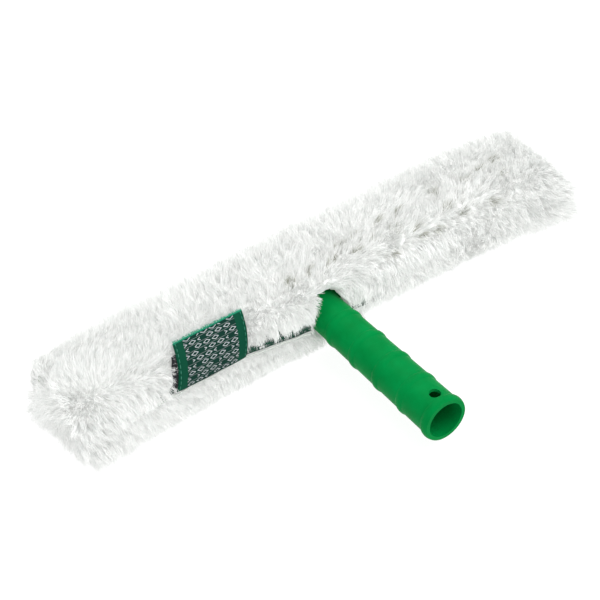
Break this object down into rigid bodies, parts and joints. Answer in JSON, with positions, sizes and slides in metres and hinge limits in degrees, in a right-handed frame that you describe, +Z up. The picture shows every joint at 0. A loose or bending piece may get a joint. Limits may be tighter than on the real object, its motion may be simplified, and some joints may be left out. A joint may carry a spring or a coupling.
{
  "type": "window washer",
  "caption": "T-shaped window washer: a green ribbed socket handle on a crossbar inside a thick white pile sleeve with a slit, a closing flap and a woven label.",
  "frame": {"origin": "centre of the mouth of the pole socket in the handle", "axes": "+X along the crossbar, to the right with the handle towards the viewer; -Y out of the socket; +Z up, with the woven label and the button hole on the upper side"},
  "size_m": [0.366, 0.1705, 0.054],
  "materials": {
    "green_plastic": "satin moulded plastic, fine sheen",
    "screw_steel": "plain zinc-plated screws",
    "pile_fabric": "long soft white pile",
    "backing_fabric": "plain woven cloth",
    "tape_fabric": "woven green tape",
    "closure_fabric": "hook and loop tape",
    "label_fabric": null,
    "thread": "polyester sewing thread"
  },
  "bodies": {
    "tbar": {"handle": "green_plastic", "bar_tube": "green_plastic", "end_cap_left": "green_plastic", "end_cap_right": "green_plastic", "flange_screws": "screw_steel"},
    "sleeve": {"sleeve_backing": "backing_fabric", "pile_top": "pile_fabric", "pile_back": "pile_fabric", "pile_bottom": "pile_fabric", "pile_front_left": "pile_fabric", "pile_front_right": "pile_fabric", "pile_end_left": "pile_fabric", "pile_end_right": "pile_fabric", "lip_binding": "tape_fabric", "hook_strip": "closure_fabric", "hook_stitches": "thread", "woven_label": "label_fabric", "label_stitches": "thread", "seam_front": "thread", "seam_end_left": "thread", "seam_end_right": "thread"},
    "flap": {"pile_flap": "pile_fabric", "flap_backing": "backing_fabric", "flap_binding": "tape_fabric", "loop_strip": "closure_fabric", "loop_stitches": "thread"}
  },
  "joints": [
    {"name": "sleeve_shift", "type": "slide", "parent": "tbar", "child": "sleeve", "axis": [1, 0, 0], "range_m": [-0.003, 0.003]},
    {"name": "flap_open", "type": "hinge", "parent": "sleeve", "child": "flap", "pos_m": [0, 0.1155, -0.025], "axis": [1, 0, 0], "range_deg": [0, 100]}
  ]
}
